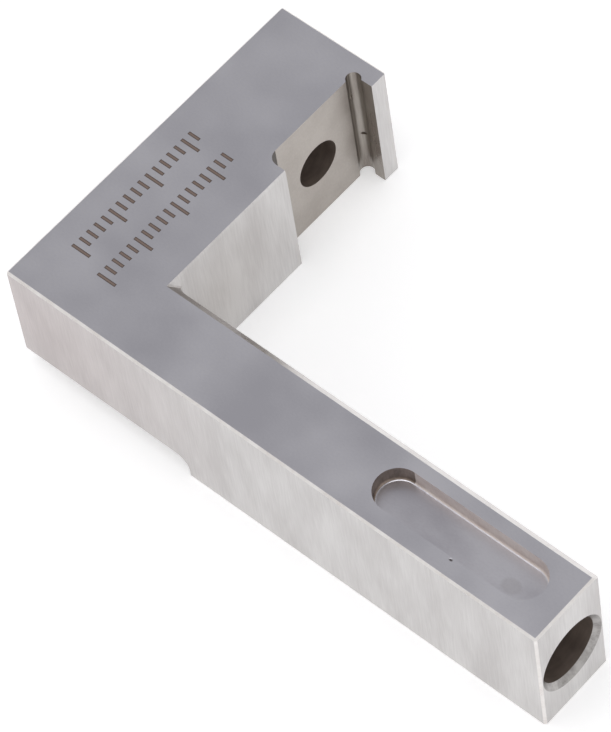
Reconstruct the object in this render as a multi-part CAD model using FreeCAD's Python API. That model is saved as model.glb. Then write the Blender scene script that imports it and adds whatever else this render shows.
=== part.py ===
import FreeCAD, Part
import math
import os

from FreeCAD import Vector

# One-piece machined angle arm, in millimetres.
#
# A short, wide leg and a long, narrow arm meet at a right angle and share one flat top.
# The arm runs along +X and the leg along +Y; +Z is up, out of the pocketed top face.
# The origin is the middle of the bounding box, on the plane that the arm stands on.
# Inside this file the lengths are laid out from the outer corner of the L.

# ---- the angle itself -------------------------------------------------------
ARM_LENGTH = 82.5        # outer corner to the bored end face
ARM_WIDTH = 11.2
LEG_LENGTH = 50.0        # outer corner to the lipped end
LEG_WIDTH = 17.0
THICKNESS = 19.5
INNER_CORNER_RADIUS = 2.0

# ---- clamp seat in the leg's inner face, between a shoulder and an end lip ---
SEAT_DEPTH = 3.0
SEAT_SHOULDER = 31.5     # outer corner to the shoulder where the seat starts
SHOULDER_RADIUS = 1.5    # cutter radius left between shoulder and seat floor
LIP_THICKNESS = 2.7
GROOVE_RADIUS = 1.0      # run-out groove between seat floor and lip
GROOVE_SET_BACK = 0.45   # groove centre from the seat floor and from the lip's wall

# ---- holes ------------------------------------------------------------------
BOLT_HOLE_DIAMETER = 6.6
END_BORE_DIAMETER = 9.0
END_BORE_DEPTH = 22.0
END_BORE_HEIGHT = 9.3    # bore centre above the underside; across the arm it is in the middle
END_BORE_CHAMFER = 0.7
DRILL_POINT_ANGLE = 118.0

# ---- obround pocket in the top of the arm -----------------------------------
POCKET_LENGTH = 24.8
POCKET_WIDTH = 6.0
POCKET_DEPTH = 2.2
POCKET_FLOOR_RADIUS = 0.4
POCKET_END_WALL = 3.5    # solid left between the pocket and the end face

# ---- relief milled away below the outer corner ------------------------------
RELIEF_LENGTH = 27.0
RELIEF_DEPTH = 3.5
RELIEF_RADIUS = 2.0      # cutter radius between the relief's roof and its end wall

# ---- edges ------------------------------------------------------------------
ARM_BEVEL_WIDTH = 0.9    # along the arm's inner top edge, measured across the top
ARM_BEVEL_ANGLE = 45.0   # how steeply it falls away from the top
LEG_BEVEL_WIDTH = 0.12   # along the leg's inner top edge
LEG_BEVEL_ANGLE = 76.0
EDGE_BREAK = 0.3         # 45 degree break on the edges of the outer sides

OVERCUT = 5.0            # how far a cutting tool runs past the face it enters


def point(x, y, z=0.0):
    """A point laid out from the outer corner, moved to the part's own origin."""
    return Vector(x - ARM_LENGTH / 2.0, y - LEG_LENGTH / 2.0, z)


def box(low, high):
    """Box between two opposite corners, given from the outer corner of the L."""
    size = [b - a for a, b in zip(low, high)]
    return Part.makeBox(size[0], size[1], size[2], point(*low))


def seat_floor_x():
    return LEG_WIDTH - SEAT_DEPTH


def lip_wall_y():
    return LEG_LENGTH - LIP_THICKNESS


def seat_middle_y():
    return (SEAT_SHOULDER + lip_wall_y()) / 2.0


def arc_corner(centre, radius, start_angle, end_angle):
    """Plan-view arc from one angle to another, in degrees about +Z."""
    turn = [start_angle, (start_angle + end_angle) / 2.0, end_angle]
    points = []
    for angle in turn:
        bearing = math.radians(angle)
        points.append(point(centre[0] + radius * math.cos(bearing), centre[1] + radius * math.sin(bearing)))
    return Part.Arc(points[0], points[1], points[2]).toShape()


def plan_face():
    """The L seen from above, with the seat, its shoulder radius and the lip."""
    floor_x = seat_floor_x()
    inner = INNER_CORNER_RADIUS
    corner_arc = arc_corner((LEG_WIDTH + inner, ARM_WIDTH + inner), inner, 270.0, 180.0)
    shoulder = SHOULDER_RADIUS
    shoulder_arc = arc_corner((floor_x + shoulder, SEAT_SHOULDER + shoulder), shoulder, 270.0, 180.0)
    runs = [
        [point(0, 0), point(ARM_LENGTH, 0), point(ARM_LENGTH, ARM_WIDTH), point(LEG_WIDTH + inner, ARM_WIDTH)],
        [point(LEG_WIDTH, ARM_WIDTH + inner), point(LEG_WIDTH, SEAT_SHOULDER),
         point(floor_x + shoulder, SEAT_SHOULDER)],
        [point(floor_x, SEAT_SHOULDER + shoulder), point(floor_x, lip_wall_y()),
         point(LEG_WIDTH, lip_wall_y()), point(LEG_WIDTH, LEG_LENGTH), point(0, LEG_LENGTH), point(0, 0)],
    ]
    edges = [corner_arc, shoulder_arc]
    for run in runs:
        edges.extend(Part.makePolygon(run).Edges)
    return Part.Face(Part.Wire(Part.__sortEdges__(edges)))


def run_out_groove():
    """Round groove that lets a square-cornered clamp block sit home against the lip."""
    foot = point(seat_floor_x() + GROOVE_SET_BACK, lip_wall_y() - GROOVE_SET_BACK, -OVERCUT)
    return Part.makeCylinder(GROOVE_RADIUS, THICKNESS + 2.0 * OVERCUT, foot, Vector(0, 0, 1))


def bolt_hole():
    """Clearance hole through the leg, square to the seat and in the middle of it."""
    start = point(-OVERCUT, seat_middle_y(), THICKNESS / 2.0)
    return Part.makeCylinder(BOLT_HOLE_DIAMETER / 2.0, LEG_WIDTH + 2.0 * OVERCUT, start, Vector(1, 0, 0))


def end_bore():
    """Blind bore up the arm from its end face, with a drill point and a chamfered mouth."""
    radius = END_BORE_DIAMETER / 2.0
    mouth_centre = point(ARM_LENGTH, ARM_WIDTH / 2.0, END_BORE_HEIGHT)
    inwards = Vector(-1, 0, 0)
    bore = Part.makeCylinder(radius, END_BORE_DEPTH + OVERCUT, mouth_centre - inwards * OVERCUT, inwards)
    point_depth = radius / math.tan(math.radians(DRILL_POINT_ANGLE / 2.0))
    bottom = Part.makeCone(radius, 0.0, point_depth, mouth_centre + inwards * END_BORE_DEPTH, inwards)
    mouth = Part.makeCone(radius + 2.0 * END_BORE_CHAMFER, radius, 2.0 * END_BORE_CHAMFER,
                          mouth_centre - inwards * END_BORE_CHAMFER, inwards)
    return bore.fuse([bottom, mouth])


def obround_pocket():
    """Shallow round-ended pocket on the arm's centre line, with a small floor radius."""
    half = POCKET_WIDTH / 2.0
    far_x = ARM_LENGTH - POCKET_END_WALL - half
    near_x = far_x - (POCKET_LENGTH - POCKET_WIDTH)
    middle_y = ARM_WIDTH / 2.0
    floor_z = THICKNESS - POCKET_DEPTH
    height = POCKET_DEPTH + OVERCUT
    slot = box((near_x, middle_y - half, floor_z), (far_x, middle_y + half, floor_z + height))
    ends = [Part.makeCylinder(half, height, point(x, middle_y, floor_z), Vector(0, 0, 1)) for x in (near_x, far_x)]
    tool = slot.fuse(ends).removeSplitter()
    foot = [edge for edge in tool.Edges if edge.BoundBox.ZMax < floor_z + POCKET_DEPTH / 2.0]
    return tool.makeFillet(POCKET_FLOOR_RADIUS, foot)


def corner_relief():
    """Step milled into the underside, so the corner bridges whatever the arm is bolted over."""
    tool = box((-OVERCUT, -OVERCUT, -OVERCUT), (RELIEF_LENGTH, ARM_WIDTH, RELIEF_DEPTH))
    end_x = point(RELIEF_LENGTH, 0).x
    corner = [edge for edge in tool.Edges
              if abs(edge.CenterOfMass.x - end_x) < 1e-6 and abs(edge.CenterOfMass.z - RELIEF_DEPTH) < 1e-6]
    return tool.makeFillet(RELIEF_RADIUS, corner)


def lies_at(edge, axis, value):
    """Whether a straight edge lies wholly at one value of X (axis 0) or Y (axis 1)."""
    return all(abs(vertex.Point[axis] - value) < 1e-6 for vertex in edge.Vertexes)


def break_outer_edges(blank):
    """Light break on every edge of the four outer sides, upright ones included."""
    low = point(0, 0)
    high = point(ARM_LENGTH, LEG_LENGTH)
    sides = [(0, low.x), (0, high.x), (1, low.y), (1, high.y)]
    edges = [edge for edge in blank.Edges if any(lies_at(edge, axis, value) for axis, value in sides)]
    return blank.makeChamfer(EDGE_BREAK, edges)


def wedge_above(tip, along, across, angle):
    """The space above a plane that is level with the top along one line and falls away across it."""
    far = tip + across
    drop = Vector(0, 0, across.Length * math.tan(math.radians(angle)))
    profile = Part.makePolygon([tip, far, far - drop, tip])
    return Part.Face(profile).extrude(along)


def inner_bevels():
    """The bevels of both inner top edges, which run on straight and meet in a sharp point.

    Only what stands above both planes goes, so the cut also slopes over the corner's fillet.
    """
    tip = point(LEG_WIDTH - LEG_BEVEL_WIDTH, ARM_WIDTH - ARM_BEVEL_WIDTH, THICKNESS)
    arm_run = Vector(ARM_LENGTH + OVERCUT, 0, 0)
    leg_run = Vector(0, SEAT_SHOULDER - ARM_WIDTH + ARM_BEVEL_WIDTH, 0)
    above_arm = wedge_above(tip, arm_run, leg_run, ARM_BEVEL_ANGLE)
    above_leg = wedge_above(tip, leg_run, arm_run, LEG_BEVEL_ANGLE)
    return above_arm.common(above_leg)


def angle_arm():
    blank = break_outer_edges(plan_face().extrude(Vector(0, 0, THICKNESS)))
    return blank.cut([run_out_groove(), bolt_hole(), end_bore(), obround_pocket(), corner_relief(), inner_bevels()])


def write(name, shape):
    os.makedirs("parts", exist_ok=True)
    shape.exportStep("parts/%s.step" % name)


solid = angle_arm()
assert len(solid.Solids) == 1
assert solid.isValid()
write("angle_arm", solid.Solids[0])
print("angle_arm volume %.1f mm3" % solid.Volume, "box", solid.BoundBox)
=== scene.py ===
import math

import bpy
from mathutils import Matrix, Vector


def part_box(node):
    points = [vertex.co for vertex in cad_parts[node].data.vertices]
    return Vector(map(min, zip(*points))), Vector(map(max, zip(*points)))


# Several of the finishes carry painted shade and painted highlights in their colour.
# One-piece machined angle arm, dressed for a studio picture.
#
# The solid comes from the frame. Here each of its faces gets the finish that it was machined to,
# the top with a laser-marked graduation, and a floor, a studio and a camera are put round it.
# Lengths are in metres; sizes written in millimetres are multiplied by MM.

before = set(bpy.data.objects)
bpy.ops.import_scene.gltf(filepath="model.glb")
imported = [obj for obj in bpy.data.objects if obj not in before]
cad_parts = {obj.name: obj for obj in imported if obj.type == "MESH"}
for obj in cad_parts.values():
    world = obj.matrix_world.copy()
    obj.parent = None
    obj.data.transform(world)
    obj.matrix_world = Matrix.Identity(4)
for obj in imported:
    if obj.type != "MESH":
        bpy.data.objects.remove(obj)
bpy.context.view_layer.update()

MM = 0.001

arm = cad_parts["angle_arm"]
LOW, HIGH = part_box("angle_arm")

# ---- where the arm's own features lie, in mm from its outer corner on the underside ----------
ARM_LENGTH = (HIGH.x - LOW.x) / MM
TOP = (HIGH.z - LOW.z) / MM
LEG_WIDTH = 17.0
ARM_WIDTH = 11.2
SEAT_X = 14.0
SEAT_START = 31.5
LIP_WALL = 47.3
SEAT_MIDDLE = (SEAT_START + LIP_WALL) / 2.0
GROOVE_WIDTH = 2.0
BOLT_HOLE_RADIUS = 3.3
BORE_HEIGHT = 9.3
BORE_START = 55.0        # no face of the end bore lies nearer to the outer corner
BORE_MOUTH_RADIUS = 5.25
BORE_CHAMFER = 0.7
POCKET_LENGTH = 24.8
POCKET_WIDTH = 6.0
POCKET_END_WALL = 3.5
POCKET_MIDDLE_X = ARM_LENGTH - POCKET_END_WALL - POCKET_LENGTH / 2.0
POCKET_DEPTH = 2.2
POCKET_FLOOR = TOP - POCKET_DEPTH
SLACK = 0.1              # how far the middle of a facet may lie off the surface that it belongs to

# ---- laser-marked graduation in the wide part of the top, in mm from the same corner ----------
TICK_LENGTH = 2.9
TICK_WIDTH = 0.46
TICK_RIM = 0.1           # the darker rim that the beam burns along each side of a stroke
TICK_ROWS = [(3.8, 7.6, 17), (9.1, 6.4, 18)]     # row's X, first tick's Y and number of ticks
TICK_PITCH = 1.3
TICK_SHORT = 0.62        # length of the ticks between the fifths, as a share of the long ones
BURNT_RIM = "#5e534c"    # laser-annealed oxide: brown, and darker where the beam turned back
BURNT_CORE = "#8b7b73"
BURNT_SHEEN = 0.5        # roughness of the oxide, duller than the ground metal

# ---- how a worked metal's tone and sheen wander --------------------------------------------------
GRAIN_SHARE = 0.5        # how much of the tone comes from the fine grain, against the clouds
TONE_SPAN = 0.2          # how far the two together stray from their middle before the tone is full
SHEEN_SPAN = 0.04        # how far the roughness strays with the clouds

# ---- small blemishes on the top, the pocket's floor and in the groove, from the same corner ------
NICK = (68.1, 2.25)
STAIN = (74.8, 4.75)
GROOVE_PIT = (13.9, 47.67, 7.0)

# ---- camera: compass bearing, height and tilt of the view, and the spot it looks at -----------
VIEW_AZIMUTH = math.radians(50.065)
VIEW_ELEVATION = math.radians(55.94)
VIEW_ROLL = math.radians(-10.37)
VIEW_TARGET = Vector((-8.78, -8.86, 9.75)) * MM
VIEW_DISTANCE = 570.3 * MM
LENS = 235.49            # a long lens from well back keeps the edges nearly parallel
SENSOR = 36.0

# ---- studio, in metres --------------------------------------------------------------------------
FLOOR_SIZE = 6.0
FLOOR_LIFT = 0.36        # what the lit floor lacks to full white


def at(x, y, z=None):
    """A point given in mm from the outer corner; without z it lies in the top face."""
    height = HIGH.z if z is None else LOW.z + z * MM
    return Vector((LOW.x + x * MM, LOW.y + y * MM, height))


def linear(hex_colour):
    """sRGB hex to the linear colour that the shaders take."""
    channels = [int(hex_colour[i:i + 2], 16) / 255 for i in (1, 3, 5)]
    return [c / 12.92 if c <= 0.04045 else ((c + 0.055) / 1.055) ** 2.4 for c in channels] + [1.0]


def add(tree, kind, links=None, **settings):
    """Add one node with its settings; links maps an input's name or number to a socket or value."""
    node = tree.nodes.new(kind)
    for name, value in settings.items():
        setattr(node, name, value)
    for name, value in (links or {}).items():
        if isinstance(value, bpy.types.NodeSocket):
            tree.links.new(value, node.inputs[name])
        else:
            node.inputs[name].default_value = value
    return node


def new_material(name):
    material = bpy.data.materials.new(name)
    material.use_nodes = True
    material.node_tree.nodes.clear()
    return material, material.node_tree


def per_size(size):
    """How often a pattern repeats in a metre, from the X, Y and Z size in mm of one of its marks."""
    return [1.0 / (length * MM) for length in size]


def graduation(tree, place):
    """Where the laser struck: two rows of ticks across the leg, every fifth one long.

    Gives one mask of the whole strokes and one of their cores, inside the rims.
    """
    axes = add(tree, "ShaderNodeSeparateXYZ", {"Vector": place}).outputs
    half_stroke = TICK_WIDTH / TICK_PITCH / 2.0
    masks = []
    for row_x, first_y, count in TICK_ROWS:
        start = at(row_x, first_y)
        run = add(tree, "ShaderNodeMath", {0: axes["Y"], 1: start.y}, operation="SUBTRACT").outputs[0]
        paces = add(tree, "ShaderNodeMath", {0: run, 1: TICK_PITCH * MM}, operation="DIVIDE").outputs[0]
        number = add(tree, "ShaderNodeMath", {0: paces}, operation="FLOOR").outputs[0]
        into_pace = add(tree, "ShaderNodeMath", {0: paces}, operation="FRACT").outputs[0]
        in_row = add(tree, "ShaderNodeMath", {0: number, 1: (count - 1) / 2.0, 2: count / 2.0 - 0.1},
                     operation="COMPARE").outputs[0]
        in_five = add(tree, "ShaderNodeMath", {0: number, 1: 5.0}, operation="FLOORED_MODULO").outputs[0]
        is_long = add(tree, "ShaderNodeMath", {0: in_five, 1: 0.5}, operation="LESS_THAN").outputs[0]
        short_half = TICK_LENGTH * TICK_SHORT * MM / 2.0
        more_half = TICK_LENGTH * MM / 2.0 - short_half
        half_reach = add(tree, "ShaderNodeMath", {0: is_long, 1: more_half, 2: short_half},
                         operation="MULTIPLY_ADD").outputs[0]
        into_tick = add(tree, "ShaderNodeMath", {0: axes["X"], 1: start.x}, operation="SUBTRACT").outputs[0]
        for inset in (0.0, TICK_RIM):
            room = add(tree, "ShaderNodeMath", {0: half_reach, 1: inset * MM},
                       operation="SUBTRACT").outputs[0]
            lengthwise = add(tree, "ShaderNodeMath", {0: into_tick, 1: half_reach, 2: room},
                             operation="COMPARE").outputs[0]
            thin = half_stroke - inset / TICK_PITCH
            crosswise = add(tree, "ShaderNodeMath", {0: into_pace, 1: half_stroke, 2: thin},
                            operation="COMPARE").outputs[0]
            tick = add(tree, "ShaderNodeMath", {0: lengthwise, 1: crosswise},
                       operation="MULTIPLY").outputs[0]
            masks.append(add(tree, "ShaderNodeMath", {0: tick, 1: in_row}, operation="MULTIPLY").outputs[0])
    strokes = add(tree, "ShaderNodeMath", {0: masks[0], 1: masks[2]}, operation="MAXIMUM").outputs[0]
    cores = add(tree, "ShaderNodeMath", {0: masks[1], 1: masks[3]}, operation="MAXIMUM").outputs[0]
    return strokes, cores


def worked_metal(name, tones, roughness, clouds, grain, depth, metallic=1.0, spots_and_shade=(), marked=False):
    """Bare worked metal: its tone drifts in clouds, and the tool's fine marks speckle and ridge it.

    tones are the darker and the lighter colour. clouds and grain are the X, Y and Z size in mm of one
    cloud and of one tool mark, and depth is how deep a mark is in mm. Each spot, real blemishes and
    patches of painted shade alike, is its centre, its X, Y and Z reach in mm, the share of the reach
    that it fills evenly, the tint that it lays over the metal and how far it dips in mm. A marked face
    carries the laser's graduation.

    Real grinding lines and cutter marks are 0.02 to 0.1 mm apart. They are drawn a few times coarser,
    because they would be too fine to show.
    """
    material, tree = new_material(name)
    place = add(tree, "ShaderNodeTexCoord").outputs["Object"]
    cloud_place = add(tree, "ShaderNodeVectorMath", {0: place, 1: per_size(clouds)}, operation="MULTIPLY")
    cloud = add(tree, "ShaderNodeTexNoise",
                {"Vector": cloud_place.outputs["Vector"], "Scale": 1.0, "Detail": 2.0}).outputs["Fac"]
    mark_place = add(tree, "ShaderNodeVectorMath", {0: place, 1: per_size(grain)}, operation="MULTIPLY")
    marks = add(tree, "ShaderNodeTexNoise",
                {"Vector": mark_place.outputs["Vector"], "Scale": 1.0, "Detail": 3.0}).outputs["Fac"]
    both = add(tree, "ShaderNodeMath", {0: marks, 1: GRAIN_SHARE, 2: cloud},
               operation="MULTIPLY_ADD").outputs[0]
    middle = (1.0 + GRAIN_SHARE) / 2.0
    drift = add(tree, "ShaderNodeMapRange",
                {"Value": both, "From Min": middle - TONE_SPAN,
                 "From Max": middle + TONE_SPAN}).outputs["Result"]
    colour = add(tree, "ShaderNodeMix", {0: drift, 6: linear(tones[0]), 7: linear(tones[1])},
                 data_type="RGBA").outputs[2]
    height = marks
    for centre, reach, core, tint, dip in spots_and_shade:
        offset = add(tree, "ShaderNodeVectorMath", {0: place, 1: centre}, operation="SUBTRACT").outputs[0]
        share = add(tree, "ShaderNodeVectorMath", {0: offset, 1: per_size(reach)}, operation="MULTIPLY")
        away = add(tree, "ShaderNodeVectorMath", {0: share.outputs[0]}, operation="LENGTH").outputs["Value"]
        mask = add(tree, "ShaderNodeMapRange", {"Value": away, "From Min": 1.0, "From Max": core}).outputs[0]
        colour = add(tree, "ShaderNodeMix", {0: mask, 6: colour, 7: linear(tint)}, data_type="RGBA",
                     blend_type="MULTIPLY").outputs[2]
        sunk = add(tree, "ShaderNodeMath", {0: mask, 1: dip / depth}, operation="MULTIPLY").outputs["Value"]
        height = add(tree, "ShaderNodeMath", {0: height, 1: sunk}, operation="SUBTRACT").outputs["Value"]
    bump = add(tree, "ShaderNodeBump", {"Height": height, "Distance": depth * MM}).outputs["Normal"]
    gloss = add(tree, "ShaderNodeMapRange",
                {"Value": cloud, "From Min": 0.3, "From Max": 0.7, "To Min": roughness - SHEEN_SPAN,
                 "To Max": roughness + SHEEN_SPAN}).outputs["Result"]
    if marked:
        strokes, cores = graduation(tree, place)
        colour = add(tree, "ShaderNodeMix", {0: strokes, 6: colour, 7: linear(BURNT_RIM)},
                     data_type="RGBA").outputs[2]
        colour = add(tree, "ShaderNodeMix", {0: cores, 6: colour, 7: linear(BURNT_CORE)},
                     data_type="RGBA").outputs[2]
        matt = add(tree, "ShaderNodeMath", {0: strokes, 1: BURNT_SHEEN}, operation="MULTIPLY").outputs[0]
        gloss = add(tree, "ShaderNodeMath", {0: gloss, 1: matt}, operation="MAXIMUM").outputs[0]
    shader = add(tree, "ShaderNodeBsdfPrincipled",
                 {"Base Color": colour, "Metallic": metallic, "Roughness": gloss, "Normal": bump})
    add(tree, "ShaderNodeOutputMaterial", {"Surface": shader.outputs["BSDF"]})
    return material


def ground_top():
    """Aluminium ground to size: an even grey satin with a very fine lay, and a nick from handling."""
    nick = (at(NICK[0], NICK[1]), (0.34, 0.22, 0.5), 0.4, "#7d7775", 0.03)
    return worked_metal("ground_top", ("#bbbac0", "#c3c2c7"), 0.36,
                        clouds=[11.0, 9.0, 9.0], grain=[0.4, 0.25, 0.25], depth=0.0012,
                        spots_and_shade=[nick], marked=True)


def ground_underside():
    """Ground on the same wheel as the top, and slightly more scuffed from being slid about."""
    return worked_metal("ground_underside", ("#b5b4b9", "#c4c3c8"), 0.38,
                        clouds=[8.0, 8.0, 8.0], grain=[0.5, 0.3, 0.3], depth=0.0015)


def pocket_floor():
    """End-milled floor, smoother than the top, with the ghost of a dried drop."""
    stain = (at(STAIN[0], STAIN[1], POCKET_FLOOR), (1.5, 1.2, 0.5), 0.7, "#f3f2f1", 0.0)
    return worked_metal("pocket_floor", ("#c1bfc5", "#cbcacf"), 0.33,
                        clouds=[9.0, 5.0, 4.0], grain=[0.4, 0.25, 0.25], depth=0.0012,
                        spots_and_shade=[stain])


def milled_side():
    """Side-milled with a long cutter: its upright feed marks blur into faint standing streaks. Painted shade
    darkens its left end and the leg's inner face.
    """
    # painted shade: the outer side darker and warmer towards its left end, where it mirrors the floor's
    # shadow
    left_end_shade = (at(2.0, 0.0, 12.0), (34.0, 4.0, 30.0), 0.1, "#f0e9e9", 0.0)
    # painted shade: the leg's inner face darker, where the arm shuts it in
    leg_face_shade = (at(17.0, 17.0, 9.0), (2.5, 14.0, 16.0), 0.1, "#e9e7e5", 0.0)
    return worked_metal("milled_side", ("#bebbba", "#d3d1d0"), 0.34,
                        clouds=[5.0, 5.0, 17.0], grain=[0.25, 0.25, 4.0], depth=0.0025,
                        spots_and_shade=[left_end_shade, leg_face_shade])


def seat_floor():
    """Fine-milled clamp seat, a little duller than the outer faces; its darker, browner tone is partly its
    own and partly painted shade of the recess.
    """
    return worked_metal("seat_floor", ("#aba49e", "#b7b1ab"), 0.4,
                        clouds=[2.0, 3.0, 4.0], grain=[0.3, 0.3, 0.4], depth=0.002)


def shoulder_radius_shade():
    """Inside radius that the cutter left between shoulder and seat, near black with painted shade."""
    return worked_metal("shoulder_radius_shade", ("#4e4a47", "#5e5955"), 0.42,
                        clouds=[2.0, 2.0, 5.0], grain=[0.3, 0.3, 1.0], depth=0.002)


def run_out_groove():
    """Groove cut with a ball-nosed cutter, with one open pit; its darker tone is painted shade in the
    groove.
    """
    pit = (at(*GROOVE_PIT), (0.7, 0.34, 0.32), 0.5, "#605248", 0.03)
    return worked_metal("run_out_groove", ("#8f8781", "#a8a39c"), 0.3,
                        clouds=[2.0, 2.0, 9.0], grain=[0.2, 0.2, 3.0], depth=0.002,
                        spots_and_shade=[pit])


def pocket_wall():
    """Pocket wall straight off the cutter, dulled, a little pinker and less metallic than the faces."""
    return worked_metal("pocket_wall", ("#d6cac4", "#e4dbd6"), 0.5,
                        clouds=[3.0, 2.0, 1.5], grain=[0.3, 0.3, 0.9], depth=0.003,
                        metallic=0.7)


def pocket_end_shade():
    """Round end of the pocket, darker than the walls: painted shade in the pocket's end."""
    return worked_metal("pocket_end_shade", ("#83786f", "#a4968c"), 0.42,
                        clouds=[1.2, 1.2, 1.5], grain=[0.3, 0.3, 0.9], depth=0.003)


def edge_highlight():
    """Edges broken by hand with a fine stone; their tone, lighter than the faces, is a painted highlight."""
    return worked_metal("edge_highlight", ("#dcd7d4", "#eae7e5"), 0.3,
                        clouds=[2.5, 2.5, 2.5], grain=[0.5, 0.5, 0.5], depth=0.0015)


def arm_bevel():
    """Bevel along the arm's inner edge, lighter than the faces as a painted highlight, and darker in the
    inner corner with painted shade, where it mirrors the leg's inner face.
    """
    # painted shade along the bevel near the inner corner
    corner_shade = (at(17.0, 10.7, 19.2), (15.0, 3.0, 3.0), 0.15, "#a39e9b", 0.0)
    return worked_metal("arm_bevel", ("#d4d0ce", "#e2dfdd"), 0.3,
                        clouds=[2.5, 2.5, 2.5], grain=[0.5, 0.5, 0.5], depth=0.0015,
                        spots_and_shade=[corner_shade])


def countersunk_mouth():
    """Countersink of the end bore, greyer than the face: a painted reflection of the grey that the cone
    mirrors.
    """
    return worked_metal("countersunk_mouth", ("#8f8c8a", "#b3b0ae"), 0.3,
                        clouds=[1.6, 1.6, 1.6], grain=[0.3, 0.3, 0.3], depth=0.003)


def drilled_bore():
    """Inside of the holes: drilled, and matt dark brown with painted shade of the deep holes."""
    return worked_metal("drilled_bore", ("#6b5f57", "#7d7067"), 0.5,
                        clouds=[2.0, 2.0, 2.0], grain=[0.3, 2.0, 2.0], depth=0.004,
                        metallic=0.2)


FINISHES = [
    ground_top, ground_underside, pocket_floor, milled_side, seat_floor, shoulder_radius_shade, run_out_groove,
    pocket_wall, pocket_end_shade, edge_highlight, arm_bevel, countersunk_mouth, drilled_bore,
]


def in_pocket(spot):
    """Whether a spot is on the pocket's floor or walls."""
    past_end = abs(spot.x - POCKET_MIDDLE_X) - POCKET_LENGTH / 2.0
    past_wall = abs(spot.y - ARM_WIDTH / 2.0) - POCKET_WIDTH / 2.0
    return max(past_end, past_wall) < SLACK and POCKET_FLOOR - SLACK < spot.z < TOP - SLACK


def finish_of(spot, normal):
    """Which finish a face has, from where its middle is (mm from the outer corner) and how it faces."""
    if in_pocket(spot):
        if normal.z > 0.9:
            return pocket_floor
        end_starts = POCKET_MIDDLE_X - (POCKET_LENGTH - POCKET_WIDTH) / 2.0
        # the round end of the pocket gets the finish with painted shade
        return pocket_end_shade if spot.x < end_starts else pocket_wall
    level = abs(normal.z) > 0.999
    if level and spot.z > TOP - SLACK:
        return ground_top
    if level and spot.z < SLACK:
        return ground_underside
    from_bore = math.hypot(spot.y - ARM_WIDTH / 2.0, spot.z - BORE_HEIGHT)
    if spot.x > BORE_START and from_bore < BORE_MOUTH_RADIUS and normal.x < 0.99:
        return countersunk_mouth if spot.x > ARM_LENGTH - BORE_CHAMFER else drilled_bore
    upright = abs(normal.z) < 0.1
    from_bolt = math.hypot(spot.y - SEAT_MIDDLE, spot.z - TOP / 2.0)
    if spot.x < SEAT_X - SLACK and from_bolt < BOLT_HOLE_RADIUS + SLACK and abs(normal.x) < 0.1:
        return drilled_bore
    beside_seat = SEAT_X - GROOVE_WIDTH < spot.x < LEG_WIDTH - SLACK
    if upright and beside_seat and SEAT_START < spot.y < LIP_WALL + GROOVE_WIDTH:
        faces_out = normal.x > 0.9
        flat = max(abs(normal.x), abs(normal.y)) > 0.999
        if spot.y > LIP_WALL - GROOVE_WIDTH and not (flat and faces_out):
            return run_out_groove
        if not flat:
            # the radius between shoulder and seat gets the finish with painted shade
            return shoulder_radius_shade
        if faces_out:
            return seat_floor
    if normal.y > 0.6 and normal.z > 0.6 and spot.y < ARM_WIDTH + SLACK:
        return arm_bevel
    sloping = 0.3 < abs(normal.z) < 0.9
    upright_break = upright and 0.69 < abs(normal.x) < 0.72
    # sloping faces and broken upright edges get the painted highlight
    return edge_highlight if sloping or upright_break else milled_side


def dress_arm():
    """Give each face of the solid the finish that it was machined to, painted shade and highlights included.
    """
    arm.data.materials.clear()
    for finish in FINISHES:
        arm.data.materials.append(finish())
    for polygon in arm.data.polygons:
        spot = (arm.matrix_world @ polygon.center - LOW) / MM
        polygon.material_index = FINISHES.index(finish_of(spot, polygon.normal))


def build_camera():
    """Long-lens camera, looking down on the arm's outer side and bored end."""
    data = bpy.data.cameras.new("camera")
    data.lens = LENS
    data.sensor_width = SENSOR
    data.clip_start = 0.01
    data.clip_end = 20.0
    camera = bpy.data.objects.new("camera", data)
    bpy.context.scene.collection.objects.link(camera)
    back = direction(VIEW_AZIMUTH, VIEW_ELEVATION)
    turn = (-back).to_track_quat("-Z", "Y").to_matrix() @ Matrix.Rotation(VIEW_ROLL, 3, "Z")
    camera.matrix_world = Matrix.Translation(VIEW_TARGET + back * VIEW_DISTANCE) @ turn.to_4x4()
    bpy.context.scene.camera = camera


def direction(azimuth, elevation):
    """Unit vector towards a bearing (0 is the -Y side, a quarter turn is +X) and a height."""
    level = math.cos(elevation)
    return Vector((math.sin(azimuth) * level, -math.cos(azimuth) * level, math.sin(elevation)))


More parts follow.
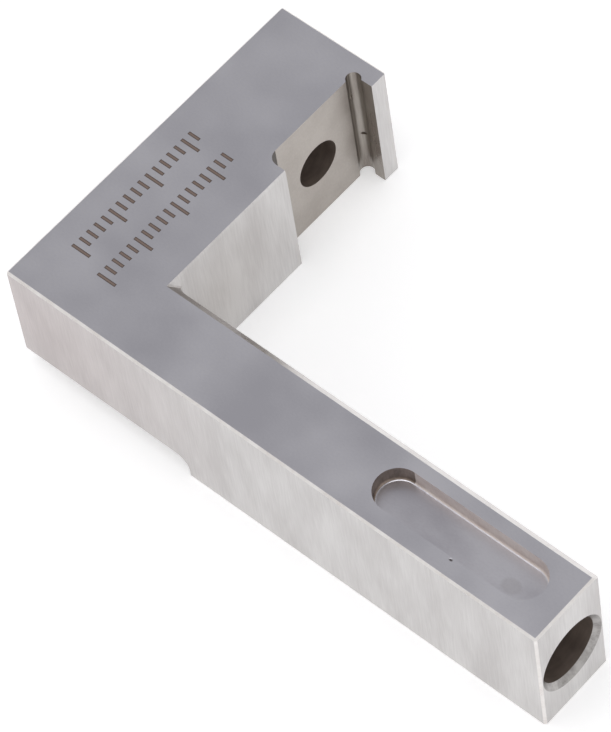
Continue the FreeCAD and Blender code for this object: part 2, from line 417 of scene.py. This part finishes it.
def white_sweep():
    """Matt white paper, lifted to full white where it is seen or mirrored. It still takes a shadow."""
    material, tree = new_material("white_sweep")
    path = add(tree, "ShaderNodeLightPath").outputs
    seen = add(tree, "ShaderNodeMath", {0: path["Is Camera Ray"], 1: path["Is Glossy Ray"]},
               operation="MAXIMUM").outputs[0]
    seen = add(tree, "ShaderNodeMath", {0: seen, 1: path["Is Transmission Ray"]},
               operation="MAXIMUM").outputs[0]
    lift = add(tree, "ShaderNodeMath", {0: seen, 1: FLOOR_LIFT}, operation="MULTIPLY").outputs[0]
    shader = add(tree, "ShaderNodeBsdfPrincipled",
                 {"Base Color": linear("#f2f2f2"), "Roughness": 0.9, "Specular IOR Level": 0.0,
                  "Emission Color": linear("#ffffff"), "Emission Strength": lift})
    add(tree, "ShaderNodeOutputMaterial", {"Surface": shader.outputs["BSDF"]})
    return material


def build_floor():
    half = FLOOR_SIZE / 2.0
    corners = [(-half, -half, LOW.z), (half, -half, LOW.z), (half, half, LOW.z), (-half, half, LOW.z)]
    mesh = bpy.data.meshes.new("floor")
    mesh.from_pydata(corners, [], [(0, 1, 2, 3)])
    mesh.materials.append(white_sweep())
    floor = bpy.data.objects.new("floor", mesh)
    bpy.context.scene.collection.objects.link(floor)


def build_world():
    """Pale tent: white walls all round, which turn grey as they close in overhead."""
    world = bpy.data.worlds.new("studio")
    bpy.context.scene.world = world
    world.use_nodes = True
    tree = world.node_tree
    tree.nodes.clear()
    heading = add(tree, "ShaderNodeTexCoord").outputs["Generated"]
    up = add(tree, "ShaderNodeSeparateXYZ", {"Vector": heading}).outputs["Z"]
    ceiling = add(tree, "ShaderNodeMapRange", {"Value": up, "From Min": 0.5, "From Max": 0.95},
                  interpolation_type="SMOOTHSTEP").outputs[0]
    colour = add(tree, "ShaderNodeMix", {0: ceiling, 6: linear("#f4f4f4"), 7: linear("#98979b")},
                 data_type="RGBA")
    background = add(tree, "ShaderNodeBackground", {"Color": colour.outputs[2], "Strength": 1.0})
    add(tree, "ShaderNodeOutputWorld", {"Surface": background.outputs["Background"]})


def soft_lamp(name, azimuth, elevation, distance, size, power):
    """Round soft box aimed at the arm, from a bearing and height in degrees."""
    data = bpy.data.lights.new(name, "AREA")
    data.shape = "DISK"
    data.size = size
    data.energy = power
    lamp = bpy.data.objects.new(name, data)
    bpy.context.scene.collection.objects.link(lamp)
    back = direction(math.radians(azimuth), math.radians(elevation))
    lamp.location = back * distance
    lamp.rotation_mode = "QUATERNION"
    lamp.rotation_quaternion = (-back).to_track_quat("-Z", "Y")


bpy.context.scene.view_settings.view_transform = "Standard"
dress_arm()
build_floor()
build_world()
soft_lamp("key", azimuth=-20.0, elevation=82.0, distance=1.4, size=0.9, power=5.0)
build_camera()
